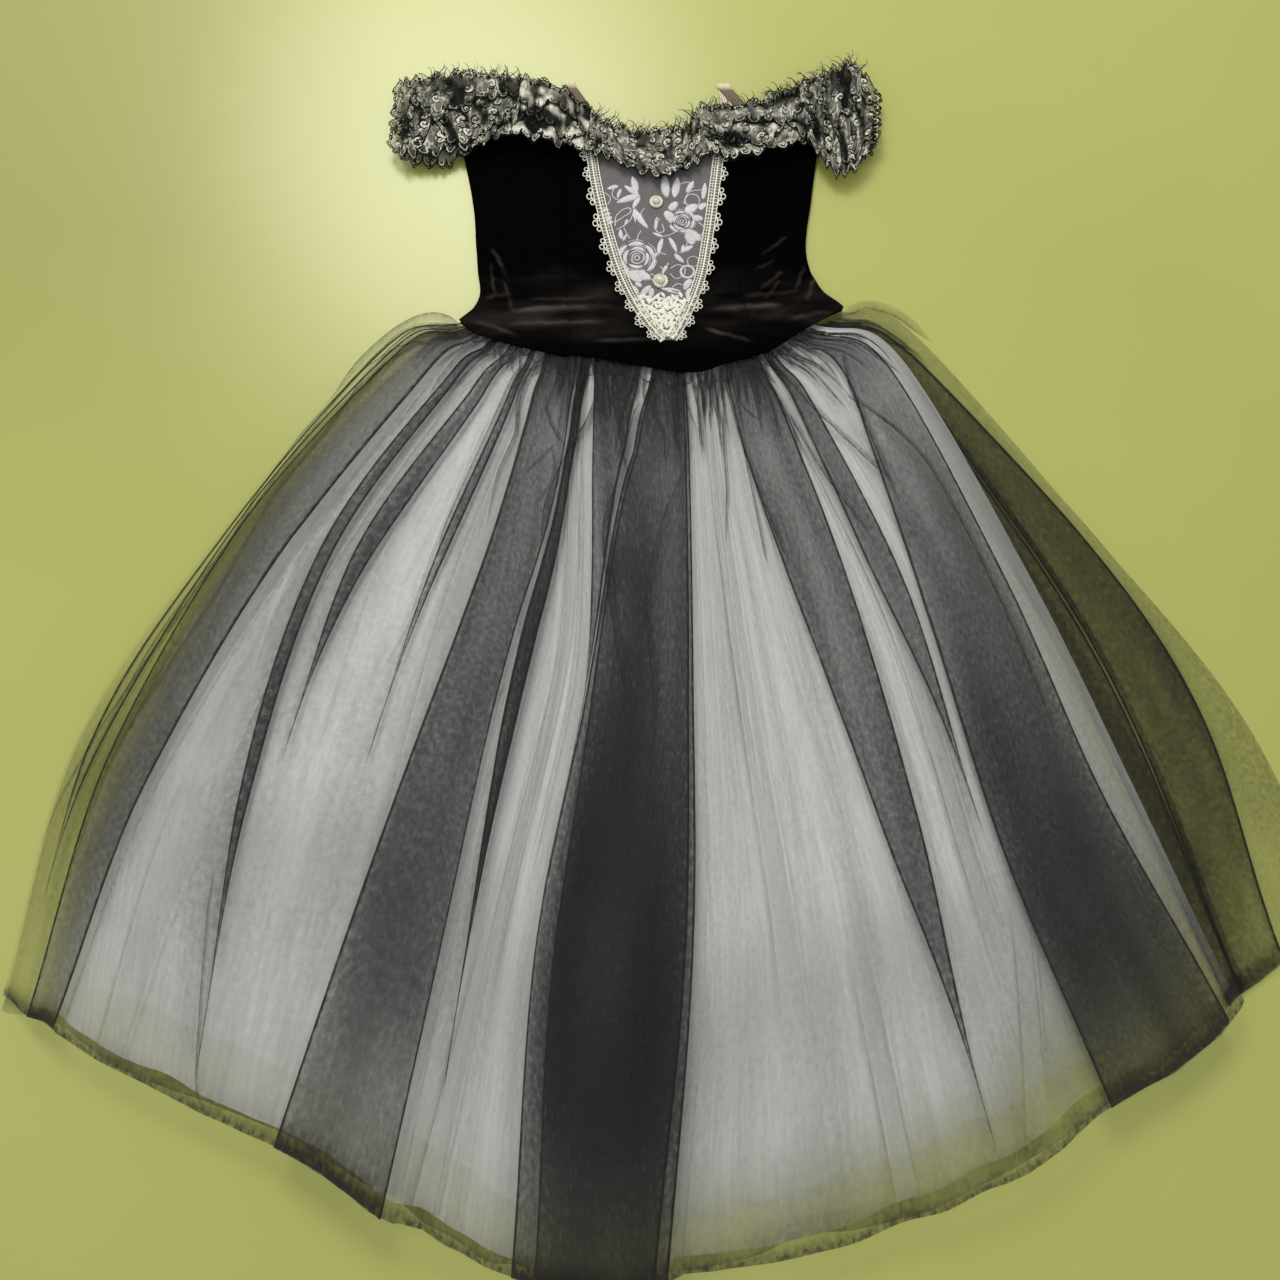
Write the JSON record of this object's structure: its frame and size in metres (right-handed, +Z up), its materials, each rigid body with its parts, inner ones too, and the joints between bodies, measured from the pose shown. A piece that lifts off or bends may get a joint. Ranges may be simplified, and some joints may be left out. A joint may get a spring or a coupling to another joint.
{
  "type": "ballet dress",
  "caption": "Romantic ballet dress laid flat: black velvet bodice with a lace stomacher, ruffled lace neck and sleeves, and a long skirt of white tulle under black net.",
  "frame": {"origin": "middle of the dress's box, on the floor that it lies on", "axes": "+Y from the hem to the neck, +Z up, +X to the right as the front is seen from above"},
  "size_m": [1.1952, 1.2124, 0.0406],
  "materials": {
    "velvet": "black pile velvet, crushed at the basque",
    "black_net": "fine soft black net, sheer",
    "white_tulle": "white tulle, matt and sheer",
    "grey_lace": "black and silver grey corded lace",
    "ivory_lace": "ivory rose lace and guipure edging",
    "elastic": "woven beige elastic",
    "pearl": "pearl"
  },
  "bodies": {
    "root": {"bodice_back": "velvet", "bodice_front": "velvet", "side_left": "velvet", "side_right": "velvet", "skirt_back_net": "black_net", "skirt_front_net": "black_net", "skirt_back_tulle": "white_tulle", "tulle_long": "white_tulle", "tulle_short": "white_tulle", "stomacher": "ivory_lace", "trim_left": "ivory_lace", "trim_right": "ivory_lace", "button_top": "pearl", "button_low": "pearl", "neck_ruffle": "grey_lace", "swag_left": "grey_lace", "swag_right": "grey_lace", "sleeve_left": "grey_lace", "sleeve_right": "grey_lace", "sleeve_back_left": "grey_lace", "sleeve_back_right": "grey_lace", "lashes_left": "grey_lace", "lashes_middle": "grey_lace", "lashes_right": "grey_lace", "lashes_sleeve": "grey_lace", "strap_left": "elastic", "strap_right": "elastic"}
  },
  "joints": []
}
